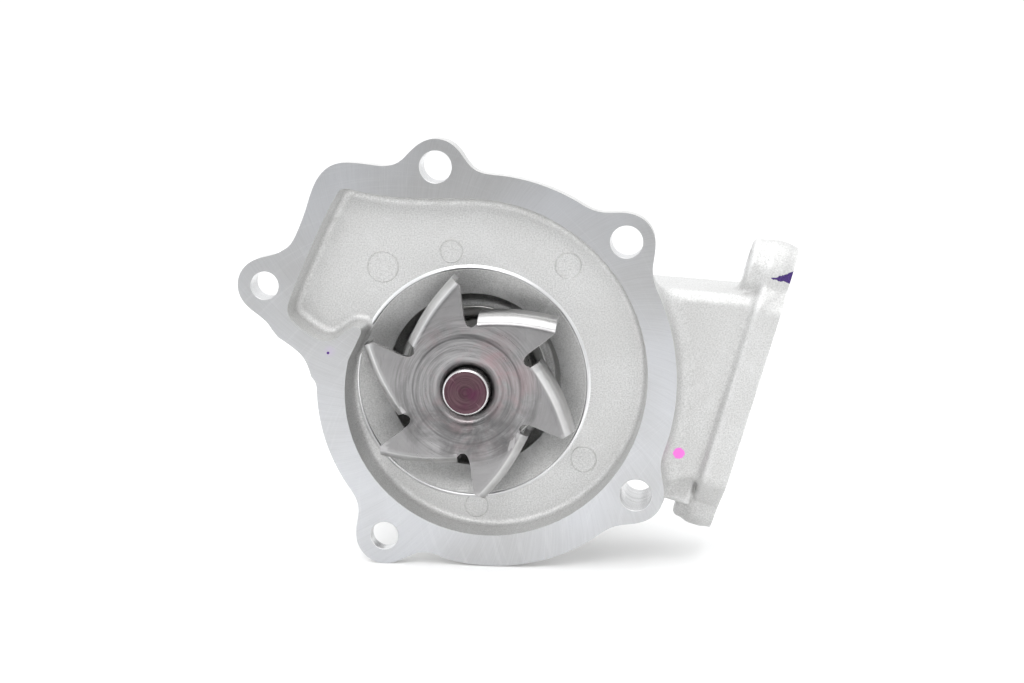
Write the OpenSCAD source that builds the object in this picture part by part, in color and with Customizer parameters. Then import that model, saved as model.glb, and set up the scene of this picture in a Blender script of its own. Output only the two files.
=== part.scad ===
// Engine coolant pump with an open stamped impeller.
// Frame: the shaft runs along Y, and the origin lies on the shaft axis in the
// joint face of the main flange. +Y goes back to the pulley hub, +X goes to the
// inlet arm, +Z is up. All lengths are in millimetres.

/* [Main flange] */
// Thickness of the main flange plate
flange_t = 8; // [7:0.5:9]
// Diameter of the three large bolt holes
hole_d = 8.5; // [8:0.1:9]
// Diameter of the two small bolt holes
small_hole_d = 7.5; // [6.5:0.1:8]
// Radius of the ears round the bolt holes
ear_r = 7.3; // [7:0.1:8]
// Length of the deep boss at the lower right bolt hole
deep_boss_l = 24; // [20:1:28]

/* [Volute] */
// Depth of the volute below the joint face
volute_d = 8; // [7:0.5:8]
// Thickness of the volute floor
floor_t = 4; // [3:0.5:5]
// Radius of the volute wall at the tongue
spiral_r0 = 33; // [32:0.5:34]
// Growth of the volute wall over its length
spiral_grow = 17.4; // [16:0.2:18]
// Radius of the recess that the impeller sits over
recess_r = 30.2; // [29.8:0.1:30.6]
// Radius of the inlet eye
eye_r = 23.6; // [23:0.1:24.5]

/* [Inlet arm] */
// Angle of the side flange, from vertical
side_tilt = 16; // [14:1:18]
// Distance from the shaft axis to the side flange face, square to that face
side_face = 73; // [71:0.5:75]
// Thickness of the side flange
side_t = 7; // [6:0.5:8]
// Depth of the back of the arm behind the joint face
arm_back = 36; // [34:1:38]
// Distance between the two bolts of the side flange
side_pitch = 66; // [64:1:68]
// Diameter of the bolt holes in the side flange
side_hole_d = 8.5; // [8:0.1:9]

/* [Bearing and shaft] */
// Diameter of the shaft at the impeller
nose_d = 12.3; // [12:0.1:12.7]
// Diameter of the shaft in the bearing and the hub
shaft_d = 15.9; // [15.8:0.1:16]
// Outer diameter of the bearing
bearing_d = 30; // [29.5:0.5:30]
// Length of the bearing
bearing_l = 34; // [32:1:34]
// Balls in each row
ball_n = 8; // [6:1:9]
// Diameter of a ball
ball_d = 6; // [5.6:0.1:6]

/* [Impeller] */
// Blades on the impeller
blade_n = 6; // [5:1:6]
// Thickness of the impeller sheet
sheet_t = 1.6; // [1.2:0.1:2]
// Radius at the blade tips
tip_r = 29.6; // [28.5:0.1:29.6]
// Distance from the joint face out to the impeller disc
disc_out = 4; // [3:0.5:5]

/* [Pulley hub] */
// Outer diameter of the hub flange
hub_d = 68; // [60:1:70]
// Thickness of the hub flange
hub_t = 5; // [4:0.5:6]
// Pitch circle of the pulley bolts
hub_pcd = 50; // [46:1:54]
// Diameter of the pulley bolt holes
hub_hole_d = 6.8; // [6:0.1:8]
// Diameter of the pilot nose
pilot_d = 20; // [19:1:24]

/* [Hidden] */
e = 0.05;
$fn = 96;

// Bolt holes of the main flange as [x, z, radius of the ear, seat depth]
top_hole = [-8.5, 58.5];
left_hole = [-54.5, 26.5];
upper_hole = [41.5, 39.5];
lower_hole = [44.5, -28];
foot_hole = [-23, -41];

// Stations along the shaft
shaft_y0 = -6.5;
collar_end = 5;
seal_face = 11;
boss_front = 17;
case_back = 28;
bearing_y0 = 31;
bearing_y1 = bearing_y0 + bearing_l;
hub_y1 = bearing_y1 + 11;
shaft_y1 = hub_y1 + 3;
row_front = bearing_y0 + 7.5;
row_rear = bearing_y1 - 7.5;
chamber_r = 27;
boss_r = 21.5;
case_r = 18;
bearing_r = bearing_d / 2;
nose_r = nose_d / 2;
shaft_r = shaft_d / 2;
ball_r = ball_d / 2;
race_in = shaft_r - 0.35;
pitch_r = race_in + ball_r + 0.02;
ring_in = pitch_r + ball_r - 0.4;

// A plane shape given as (x, z), made solid from y0 over a length h
module along_y(h, y0 = 0) {
    translate([0, y0 + h, 0]) rotate([90, 0, 0]) linear_extrude(h) children();
}

// A cylinder on the Y axis or on a line parallel to it
module ycyl(r, y0, y1, p = [0, 0]) {
    translate([p[0], y1, p[1]]) rotate([90, 0, 0]) cylinder(r = r, h = y1 - y0);
}

// A cone on the Y axis
module ycone(r0, r1, y0, y1, p = [0, 0]) {
    translate([p[0], y1, p[1]]) rotate([90, 0, 0]) cylinder(r1 = r1, r2 = r0, h = y1 - y0);
}

// A ring of section given as (radius, y)
module yturn() {
    rotate([-90, 0, 0]) rotate_extrude() children();
}

module ring(r0, r1, y0, y1) {
    yturn() translate([r0, y0]) square([r1 - r0, y1 - y0]);
}

// Frame of the side flange: x goes back, y goes up the flange, z goes out of it
module on_side() {
    rotate([0, side_tilt, 0]) rotate([90, 0, 90]) children();
}

// The wall of the volute grows evenly round the impeller
function volute_r(t) = spiral_r0 + spiral_grow * pow(sin(90 * t), 1.5);
volute_points = [for (i = [0:48]) let (t = i / 48, a = 168 + 282 * t) volute_r(t) * [cos(a), sin(a)]];
outlet_points = [[-12, 50.3], [-19, 50.4], [-28, 51.6], [-33, 53], [-35, 51],
                 [-41, 39], [-47.5, 24], [-48.8, 20], [-47.5, 17], [-41, 12.3],
                 [-37, 11.5], [-33.5, 14], [-30.5, 16], [-28.2, 15.2], [-30, 11.5]];

module volute_shape() {
    polygon(concat(volute_points, outlet_points));
}

// Outline of the main flange: a round body, the outlet corner and five ears
module flange_shape() {
    offset(r = -6) offset(r = 6) union() {
        translate([6.5, -1]) circle(47.4);
        intersection() {
            translate([3, 5.5]) circle(51.2);
            translate([-5, -10]) square([80, 80]);
        }
        polygon([[-41.5, 0], [-43, 6], [-46, 9.5], [-54, 14.5], [-50, 34], [-46.5, 38],
                 [-43.5, 45], [-41.5, 52], [-39.3, 56], [-36, 58.7], [-32, 59.5],
                 [-21, 58.3], [0, 56.6], [0, 0]]);
        translate(top_hole) circle(ear_r);
        translate(left_hole) circle(ear_r);
        translate(upper_hole) circle(ear_r);
        translate(lower_hole) circle(ear_r);
        translate(foot_hole) circle(ear_r + 0.4);
    }
}

module side_flange_shape() {
    hull() {
        translate([18, 17.5 + side_pitch / 2]) circle(8);
        translate([26, 17.5 - side_pitch / 2]) circle(8);
        translate([12, 40]) circle(6);
        translate([32, 38]) circle(6);
        translate([12, -4]) circle(6);
        translate([32, -6]) circle(6);
    }
}

module housing_outside() {
    difference() {
        along_y(flange_t) flange_shape();
        ycyl(ear_r + 1.4, 5, flange_t + 1, foot_hole);
    }
    along_y(volute_d + floor_t) offset(r = 4) volute_shape();
    for (p = [top_hole, left_hole]) ycyl(ear_r - 0.9, flange_t - 1, flange_t + 1, p);
    ycyl(ear_r - 0.4, flange_t - 1, deep_boss_l, lower_hole);
    // Inlet chamber and arm
    ycyl(chamber_r + 4, flange_t - 1, arm_back);
    along_y(arm_back - volute_d, volute_d)
        polygon([[0, 26.5], [45, 26.5], [79, 24.2], [65, -27], [45, -26], [0, -26]]);
    // Side flange and its two bosses
    on_side() translate([0, 0, side_face - side_t]) linear_extrude(side_t) side_flange_shape();
    on_side() translate([18, 17.5 + side_pitch / 2, side_face - 12]) cylinder(r = 7.6, h = 10);
    on_side() translate([26, 17.5 - side_pitch / 2, side_face - 11]) cylinder(r = 7.6, h = 9);
    // Web from the deep boss to the arm
    along_y(7, 14) polygon([[46, -20], [46, -31], [51, -32.4], [56.7, -34], [58, -20]]);
    // Bearing boss and its ribs
    ycyl(bearing_r + 5, arm_back - 1, bearing_y1);
    for (a = [18:72:306])
        rotate([0, -a, 0]) translate([0, 0, -2.5])
            linear_extrude(5) polygon([[16, arm_back - 1], [30, arm_back - 1], [30, arm_back + 3],
                                       [21.5, bearing_y1 - 8], [16, bearing_y1 - 8]]);
}

module pump_housing() {
    color("silver") difference() {
        housing_outside();
        // Volute, recess and eye
        translate([0, -e, 0]) along_y(volute_d + e) volute_shape();
        ycone(recess_r, eye_r, volute_d - 0.01, volute_d + floor_t - 0.5);
        ycyl(eye_r, volute_d, volute_d + floor_t + 1);
        // Inlet chamber and the passage in the arm, round the seal boss
        difference() {
            union() {
                ycyl(chamber_r, volute_d + floor_t, arm_back - 4);
                along_y(arm_back - 4 - volute_d - floor_t, volute_d + floor_t)
                    polygon([[8, 22], [30, 22], [86, 17.7], [86, -22], [60, -17.5], [30, -16.5], [8, -16.5]]);
            }
            ycyl(boss_r, boss_front, arm_back);
            for (s = [0, 180])
                rotate([0, s, 0]) translate([0, 29.4, 0]) cylinder(r = 4.5, h = 40);
        }
        // Seal seat, bearing seat and the way through
        ycyl(case_r, boss_front - 1, case_back);
        ycyl(bearing_r, case_back - 1, bearing_y1 + 1);
        // Weep drilling below and its plugged twin above
        translate([0, 29.4, -40]) cylinder(r = 1.4, h = 80);
        translate([0, 29.4, chamber_r + 2]) cylinder(r = 3.2, h = 6);
        // Bolt holes of the main flange
        ycyl(hole_d / 2, -1, flange_t + 3, top_hole);
        ycyl(small_hole_d / 2, -1, flange_t + 3, left_hole);
        ycyl(hole_d / 2, -1, flange_t + 1, upper_hole);
        ycyl(hole_d / 2, -1, deep_boss_l + 1, lower_hole);
        ycyl(small_hole_d / 2, -1, flange_t + 1, foot_hole);
        // Seats for the bolt heads, clear of the walls beside them
        for (p = [top_hole, left_hole]) ycyl(ear_r - 0.7, flange_t + 0.7, arm_back, p);
        ycyl(ear_r - 0.7, flange_t - 0.3, arm_back, upper_hole);
        ycyl(ear_r + 0.3, deep_boss_l - 0.4, arm_back + 4, lower_hole);
        // Bolt holes of the side flange
        on_side() translate([18, 17.5 + side_pitch / 2, side_face - 14]) cylinder(r = side_hole_d / 2, h = 16);
        on_side() translate([26, 17.5 - side_pitch / 2, side_face - 14]) cylinder(r = side_hole_d / 2, h = 16);
    }
}

// One blade seen from the front, with its tip at angle 0. The fold runs from
// the notch out to the tip, bowed a little outwards, and the notch separates it
// from the next blade.
fold_in = 20.4 * [cos(43), sin(43)];
fold_out = [tip_r, 0];
fold_dir = (fold_out - fold_in) / norm(fold_out - fold_in);
fold_side = [-fold_dir[1], fold_dir[0]];
fold_points = [for (i = [0:8]) let (t = i / 8)
    fold_in + (fold_out - fold_in) * t + fold_side * 0.9 * sin(180 * t)];
cut_points = [for (p = [[tip_r - 1.4, -3.6], [25, -5], [19, -6], [17.9, -8.5], [17.7, -11], [18.4, -14.5]])
    p[0] * [cos(p[1]), sin(p[1])]];

// The plate stops halfway into the blade walls, which carry the outer side
function plate_points(i) = concat(
    [for (j = [0:8]) let (t = 0.06 + 0.88 * j / 8)
        fold_in + (fold_out - fold_in) * t + fold_side * (0.9 * sin(180 * t) - sheet_t / 2)],
    cut_points);
function turned(p, a) = [p[0] * cos(a) - p[1] * sin(a), p[0] * sin(a) + p[1] * cos(a)];

module star_shape() {
    polygon([for (i = [0:blade_n - 1]) for (p = plate_points(i)) turned(p, 98.5 - i * 360 / blade_n)]);
}

module blade_wall() {
    n = len(fold_points) - 1;
    polygon(concat(fold_points, [for (i = [n:-1:0]) fold_points[i] - sheet_t * fold_side]));
}

module impeller() {
    color("gainsboro") union() {
        difference() {
            along_y(sheet_t, -disc_out) star_shape();
            ycyl(9.4, -disc_out - 1, 0);
        }
        for (i = [0:blade_n - 1]) rotate([0, -(98.5 + i * 360 / blade_n), 0]) difference() {
            along_y(disc_out + 7.5, -disc_out) blade_wall();
            yturn() polygon([[15, 9], [15, 7.1], [32, 5.2], [32, 9]]);
        }
        yturn() polygon([[nose_r, -disc_out + 2.2], [8.6, -disc_out], [10.4, -disc_out],
                         [10.4, -disc_out + sheet_t], [8.6, -disc_out + sheet_t + 0.6],
                         [nose_r + sheet_t, -disc_out + 4], [nose_r + sheet_t, collar_end],
                         [nose_r, collar_end]]);
    }
}

module pump_shaft() {
    color("lightsteelblue") difference() {
        union() {
            ycone(nose_r - 0.7, nose_r, shaft_y0, shaft_y0 + 0.7);
            ycyl(nose_r, shaft_y0 + 0.7, 29.6);
            ycyl(shaft_r, 29.6, shaft_y1 - 0.8);
            ycone(shaft_r, shaft_r - 0.8, shaft_y1 - 0.8, shaft_y1);
        }
        for (y = [row_front, row_rear])
            yturn() translate([pitch_r, y]) circle(ball_r + 0.04);
        ycone(1.6, 0.3, shaft_y0 - e, shaft_y0 + 1.4);
        ycone(0.3, 2.4, shaft_y1 - 2.2, shaft_y1 + e);
    }
}

module bearing_outer_ring() {
    color("silver") difference() {
        ring(ring_in, bearing_r, bearing_y0, bearing_y1);
        for (y = [row_front, row_rear])
            yturn() translate([pitch_r, y]) circle(ball_r + 0.04);
    }
}

module ball_row(y) {
    for (i = [0:ball_n - 1]) rotate([0, i * 360 / ball_n, 0])
        translate([pitch_r, y, 0]) sphere(r = ball_r);
}
module front_balls() { color("gainsboro") ball_row(row_front); }
module rear_balls() { color("gainsboro") ball_row(row_rear); }

// A moulded crown cage: a band beside the balls with fingers between them
module ball_cage(y, dir) {
    difference() {
        ring(pitch_r - 1.1, pitch_r + 1.1, y - (dir > 0 ? 2 : 4.4), y + (dir > 0 ? 4.4 : 2));
        for (i = [0:ball_n - 1]) rotate([0, i * 360 / ball_n, 0])
            translate([pitch_r - 4, y, 0]) rotate([0, 90, 0]) cylinder(r = ball_r + 0.12, h = 8);
    }
}
module front_ball_cage() { color("darkolivegreen") ball_cage(row_front, -1); }
module rear_ball_cage() { color("darkolivegreen") ball_cage(row_rear, 1); }

module lip_seal(y0, y1) {
    ring(shaft_r + 0.08, ring_in, y0, y1);
}
module bearing_seal_front() { color("dimgray") lip_seal(bearing_y0 + 0.6, bearing_y0 + 2); }
module bearing_seal_rear() { color("dimgray") lip_seal(bearing_y1 - 2, bearing_y1 - 0.6); }

// Drawn case of the face seal, pressed into the housing
module seal_case() {
    color("goldenrod") yturn() polygon([[16.8, boss_front - 1], [19.6, boss_front - 1], [19.6, boss_front],
        [case_r, boss_front], [case_r, case_back], [9.2, case_back], [9.2, case_back - 1],
        [16.8, case_back - 1]]);
}
module seal_bellows() {
    color("dimgray") yturn() polygon([[7.6, 17], [12.4, 17], [12.4, 18], [9.4, 18], [9.4, 20],
        [11, 21.2], [11, 22.4], [9.4, 23.4], [9.4, 26], [14, 26], [14, 27], [8, 27], [8, 23],
        [9.2, 22], [9.2, 21.6], [8, 20.4]]);
}
module seal_spring_seat() { color("silver") ring(9.8, 15.4, 18, 18.7); }
module seal_spring_retainer() { color("silver") ring(9.8, 15.4, 25.3, 26); }

// Coil spring between the seat and the retainer
spring_turns = 3.5;
spring_wire = 0.6;
spring_y0 = 18.7 + spring_wire + 0.02;
spring_y1 = 25.3 - spring_wire - 0.02;
module seal_spring() {
    n = 28 * spring_turns;
    k = 8;
    pts = [for (i = [0:n]) let (t = i / n, a = 360 * spring_turns * t, y = spring_y0 + (spring_y1 - spring_y0) * t)
        for (j = [0:k - 1]) let (b = 360 * j / k, r = 13.6 + spring_wire * cos(b))
            [r * cos(a), y + spring_wire * sin(b), r * sin(a)]];
    sides = [for (i = [0:n - 1]) for (j = [0:k - 1]) let (m = (j + 1) % k)
        [i * k + j, i * k + m, (i + 1) * k + m, (i + 1) * k + j]];
    cap0 = [[for (j = [k - 1:-1:0]) j]];
    cap1 = [[for (j = [0:k - 1]) n * k + j]];
    color("lightgray") polyhedron(points = pts, faces = concat(sides, cap0, cap1), convexity = 8);
}

module carbon_ring() {
    color("darkslategray") yturn() polygon([[7.4, 13], [8.6, seal_face + 0.04], [10.8, seal_face + 0.04],
        [10.8, 13], [12.4, 13], [12.4, 17], [7.4, 17]]);
}
module mating_ring() { color("whitesmoke") ring(7.4, 13, 6.8, seal_face); }
module mating_ring_boot() {
    color("dimgray") yturn() polygon([[nose_r, 5.4], [14.2, 5.4], [14.2, 10.2], [13, 10.2], [13, 6.8],
        [7.4, 6.8], [7.4, 9.6], [nose_r, 9.6]]);
}
module shaft_slinger() { color("dimgray") ring(nose_r, 11.6, 28.4, 29.4); }

// Cup plug that closes the upper drilling
module weep_plug() {
    color("goldenrod") difference() {
        translate([0, 29.4, chamber_r + 2]) cylinder(r = 3.2, h = 2.6);
        translate([0, 29.4, chamber_r + 2.7]) cylinder(r = 2.5, h = 4);
    }
}

module pulley_hub() {
    color("slategray") difference() {
        union() {
            ycyl(13, bearing_y1 + 0.6, hub_y1);
            ycyl(hub_d / 2, hub_y1 - hub_t, hub_y1);
            ycone(16, 13, hub_y1 - hub_t - 2, hub_y1 - hub_t + e);
            ycyl(pilot_d / 2, hub_y1 - 1, shaft_y1);
        }
        ycyl(shaft_r, bearing_y1, shaft_y1 + 1);
        for (a = [45:90:315])
            ycyl(hub_hole_d / 2, hub_y1 - hub_t - 1, hub_y1 + 1, hub_pcd / 2 * [cos(a), sin(a)]);
        for (a = [0:90:270])
            ycyl(4.5, hub_y1 - hub_t - 1, hub_y1 + 1, hub_pcd / 2 * [cos(a), sin(a)]);
    }
}

pump_housing();
impeller();
pump_shaft();
bearing_outer_ring();
front_balls();
rear_balls();
front_ball_cage();
rear_ball_cage();
bearing_seal_front();
bearing_seal_rear();
seal_case();
seal_bellows();
seal_spring();
seal_spring_seat();
seal_spring_retainer();
carbon_ring();
mating_ring();
mating_ring_boot();
shaft_slinger();
weep_plug();
pulley_hub();
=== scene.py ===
import math

import bmesh
import bpy
import numpy as np
from mathutils import Matrix, Vector


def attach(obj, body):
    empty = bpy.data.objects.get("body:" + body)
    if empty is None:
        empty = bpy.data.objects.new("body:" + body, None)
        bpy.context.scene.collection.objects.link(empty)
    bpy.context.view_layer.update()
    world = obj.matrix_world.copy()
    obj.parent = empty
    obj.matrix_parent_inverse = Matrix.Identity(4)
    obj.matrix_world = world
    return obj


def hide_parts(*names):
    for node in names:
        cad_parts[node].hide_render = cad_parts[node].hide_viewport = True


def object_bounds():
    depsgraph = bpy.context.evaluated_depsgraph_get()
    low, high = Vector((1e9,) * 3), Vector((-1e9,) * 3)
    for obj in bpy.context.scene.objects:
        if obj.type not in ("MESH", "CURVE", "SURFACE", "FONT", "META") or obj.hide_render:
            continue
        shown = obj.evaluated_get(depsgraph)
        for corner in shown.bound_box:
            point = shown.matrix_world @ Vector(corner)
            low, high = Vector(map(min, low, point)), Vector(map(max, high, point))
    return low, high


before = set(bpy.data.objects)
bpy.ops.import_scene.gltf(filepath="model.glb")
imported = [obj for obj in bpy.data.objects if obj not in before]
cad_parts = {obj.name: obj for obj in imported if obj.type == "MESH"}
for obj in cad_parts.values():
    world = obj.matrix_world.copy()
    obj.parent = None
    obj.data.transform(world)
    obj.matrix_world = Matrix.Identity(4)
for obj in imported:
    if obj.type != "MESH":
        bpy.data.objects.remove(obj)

CAD_BOX = [list(v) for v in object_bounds()]
MM = 0.001
TILT = math.radians(16.0)
CS, SN = math.cos(TILT), math.sin(TILT)
STEP = 0.6


# ---------------------------------------------------------------- distance fields
def rnd(a, b, r):
    """Intersection of two distance fields, its edge rounded with radius r."""
    u, v = a + r, b + r
    return np.minimum(np.maximum(u, v), 0) + np.hypot(np.maximum(u, 0), np.maximum(v, 0)) - r


def smin(a, b, k):
    h = np.maximum(k - np.abs(a - b), 0) / k
    return np.minimum(a, b) - h * h * k * 0.25


def smax(a, b, k):
    return -smin(-a, -b, k)


def slab(y, a, b):
    return np.abs(y - (a + b) / 2) - (b - a) / 2


def chaikin(p, times, keep=()):
    p = np.asarray(p, float)
    for _ in range(times):
        q = np.roll(p, -1, 0)
        p = np.stack([0.75 * p + 0.25 * q, 0.25 * p + 0.75 * q], 1).reshape(-1, 2)
    return p


class Plane2D:
    """A signed distance in a plane, kept on a fine grid and read with bilinear interpolation."""

    def __init__(self, lo, hi, step, fn):
        self.lo, self.step = np.array(lo, float), step
        nx = int((hi[0] - lo[0]) / step) + 2
        ny = int((hi[1] - lo[1]) / step) + 2
        gx = lo[0] + step * np.arange(nx)
        gy = lo[1] + step * np.arange(ny)
        self.v = fn(*np.meshgrid(gx, gy, indexing="ij"))

    def __call__(self, x, y):
        i = np.clip((x - self.lo[0]) / self.step, 0, self.v.shape[0] - 1.001)
        j = np.clip((y - self.lo[1]) / self.step, 0, self.v.shape[1] - 1.001)
        a, b = i.astype(int), j.astype(int)
        s, t = i - a, j - b
        v = self.v
        return (v[a, b] * (1 - s) * (1 - t) + v[a + 1, b] * s * (1 - t)
                + v[a, b + 1] * (1 - s) * t + v[a + 1, b + 1] * s * t)


def polygon_distance(p, x, y):
    """Signed distance to a closed polygon, negative inside."""
    best = np.full(x.shape, 1e9)
    odd = np.zeros(x.shape, bool)
    q = np.roll(p, -1, 0)
    for (ax, ay), (bx, by) in zip(p, q):
        ex, ey = bx - ax, by - ay
        t = np.clip(((x - ax) * ex + (y - ay) * ey) / (ex * ex + ey * ey + 1e-12), 0, 1)
        best = np.minimum(best, (x - ax - t * ex) ** 2 + (y - ay - t * ey) ** 2)
        cross = ((ay > y) != (by > y)) & (x < (bx - ax) * (y - ay) / (by - ay + 1e-12) + ax)
        odd ^= cross
    return np.where(odd, -1, 1) * np.sqrt(best)


def circle(x, z, c, r):
    return np.hypot(x - c[0], z - c[1]) - r


TOP, LEFT, UPPER, LOWER, FOOT = (-8.5, 58.5), (-54.5, 26.5), (41.5, 39.5), (44.5, -28.0), (-23.0, -41.0)


def volute_outline():
    pts = []
    for i in range(61):
        t = i / 60
        a = math.radians(168 + 282 * t)
        r = 33 + 17.4 * math.sin(math.radians(90 * t)) ** 1.5
        pts.append((r * math.cos(a), r * math.sin(a)))
    corner = np.array([(-12, 50.3), (-19, 50.4), (-28, 51.6), (-33, 53), (-35, 51), (-41, 39), (-47.5, 24),
                       (-48.8, 20), (-47.5, 17), (-41, 12.3), (-37, 11.5), (-33.5, 14), (-30.5, 16),
                       (-28.2, 15.2), (-30, 11.5)], float)
    # the corner's points rounded, with its first and last point kept
    p = corner
    for _ in range(3):
        q = np.stack([0.75 * p[:-1] + 0.25 * p[1:], 0.25 * p[:-1] + 0.75 * p[1:]], 1).reshape(-1, 2)
        p = np.vstack([p[:1], q, p[-1:]])
    return np.vstack([np.array(pts), p])


def flange_field(x, z):
    a = circle(x, z, (6.5, -1), 47.4)
    b = smax(circle(x, z, (3, 5.5), 51.2), -5 - x, 1.0)
    d = smin(a, b, 4)
    corner = chaikin([(-41.5, 0), (-43, 6), (-46.3, 9.6), (-54, 14.5), (-50, 34), (-46.5, 38), (-43.5, 45),
                      (-41.5, 52), (-39.3, 56.2), (-36, 58.9), (-31.5, 59.6), (-21, 58.3), (0, 56.6), (0, 0)], 2)
    d = smin(d, polygon_distance(corner, x, z), 3)
    for c, r, k in ((TOP, 7.3, 8), (LEFT, 7.3, 8), (UPPER, 7.3, 8), (LOWER, 7.3, 7), (FOOT, 7.7, 8)):
        d = smin(d, circle(x, z, c, r), k)
    return d


def side_field(a, u):
    d = polygon_distance(np.array([(18, 50.5), (32, 38), (32, -6), (26, -15.5), (12, -4), (12, 40)], float), a, u) - 6
    d = smin(d, circle(a, u, (18, 50.5), 8), 2)
    return smin(d, circle(a, u, (26, -15.5), 8), 2)


flange_2d = Plane2D((-70, -57), (62, 74), 0.3, flange_field)
volute_2d = Plane2D((-70, -57), (62, 74), 0.3, lambda x, z: polygon_distance(volute_outline(), x, z))
side_2d = Plane2D((-8, -38), (52, 72), 0.3, side_field)

PINS = [((-24, 31), 4.1), ((-5.6, 35.4), 3.0), ((25.6, 32), 3.4), ((30, -20.4), 3.4), ((1, -33.9), 3.1), ((-19.5, -34.5), 3.6)]


def housing_field(x, y, z):
    F = flange_2d(x, z)
    V = volute_2d(x, z)
    r = np.hypot(x, z)
    plate = rnd(F + 0.035 * np.maximum(y, 0), slab(y, -3, 8), 1.3)
    seat = np.maximum(circle(x, z, FOOT, 8.6), 5 - y)
    plate = smax(plate, -seat, 1.5)
    around = smin(V - 4, circle(x, z, (-37, 7.5), 6.0), 3)
    bowl = rnd(around + 0.06 * np.maximum(y - 4, 0), slab(y, 0, 12), 2.2)
    d = smin(plate, bowl, 3)
    for c in (TOP, LEFT):
        d = smin(d, rnd(circle(x, z, c, 6.5), slab(y, 5, 9.6), 0.7), 1.2)
    d = smin(d, rnd(circle(x, z, LOWER, 7.0) + 0.02 * (y - 8), slab(y, 5, 26), 0.8), 2.5)
    cham = rnd(r - 31 + 0.03 * (y - 8), slab(y, 5, 36), 3)
    d = smin(d, cham, 3)
    duct = np.maximum.reduce([
        z - 26.5, 0.0675 * (x - 45) + 0.9977 * (z - 26.5), 0.9645 * (x - 79) - 0.2637 * (z - 24.2),
        -0.0499 * (x - 65) - 0.9988 * (z + 27), -(z + 26), -x])
    duct = rnd(duct, slab(y, 8, 36), 3.5)
    d = smin(d, duct, 6)
    n = x * CS - z * SN
    u = x * SN + z * CS
    side = rnd(side_2d(y, u), slab(n, 66, 76), 1.3)
    d = smin(d, side, 3)
    d = smin(d, rnd(np.hypot(y - 18, u - 50.5) - 7.6, slab(n, 61, 71), 1.6), 3)
    d = smin(d, rnd(np.hypot(y - 26, u + 15.5) - 7.6, slab(n, 62, 71), 1.6), 3)
    web = np.maximum.reduce([-(x - 44), 0.962 * (x - 60.0) - 0.27 * (z + 27), -0.27 * (x - 51) - 0.963 * (z + 32.4), z + 20])
    d = smin(d, rnd(web, slab(y, 15.5, 21), 1.0), 1.6)
    boss = rnd(r - 20 + 0.02 * (y - 45), slab(y, 30, 68), 1.5)
    d = smin(d, boss, 4)
    for k in range(5):
        a = math.radians(18 + 72 * k)
        p = x * math.cos(a) + z * math.sin(a)
        q = -x * math.sin(a) + z * math.cos(a)
        rib = np.maximum.reduce([p - 30, 0.904 * (p - 30) + 0.427 * (y - 39), 14 - p, 33 - y, y - 57])
        d = smin(d, rnd(rib, np.abs(q) - 2.5 + 0.03 * (y - 45), 1.1), 2.6)
    # ejector marks on the volute floor, each a shallow disc
    floor_y = 8 + 0 * x
    for (px, pz), pr in PINS:
        q = np.hypot(x - px, z - pz)
        floor_y = floor_y + 0.06 / (1 + np.exp(np.clip((q - pr) / 0.3, -30, 30)))
    # inner spaces
    cav = rnd(V + 0.11 * (y + 0.0), y - floor_y, 1.9)
    d = smax(d, -cav, 0.5)
    low = smin(np.maximum(-(z + 16.5), -0.0333 * (x - 30) - 0.9994 * (z + 16.5)), -0.1705 * (x - 60) - 0.9854 * (z + 17.5), 2)
    void = smin(rnd(r - 27, slab(y, 12.2, 32), 2.2),
                rnd(np.maximum.reduce([0.0766 * (x - 30) + 0.9971 * (z - 22), z - 22, low, 8 - x]), slab(y, 12.2, 32), 3), 2)
    void = smax(void, -rnd(r - 21.5, 17 - y, 1.2), 1.8)
    void = smax(void, -(np.hypot(x, y - 29.4) - 4.5), 1.8)
    return smax(d, -void, 0.5)


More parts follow.
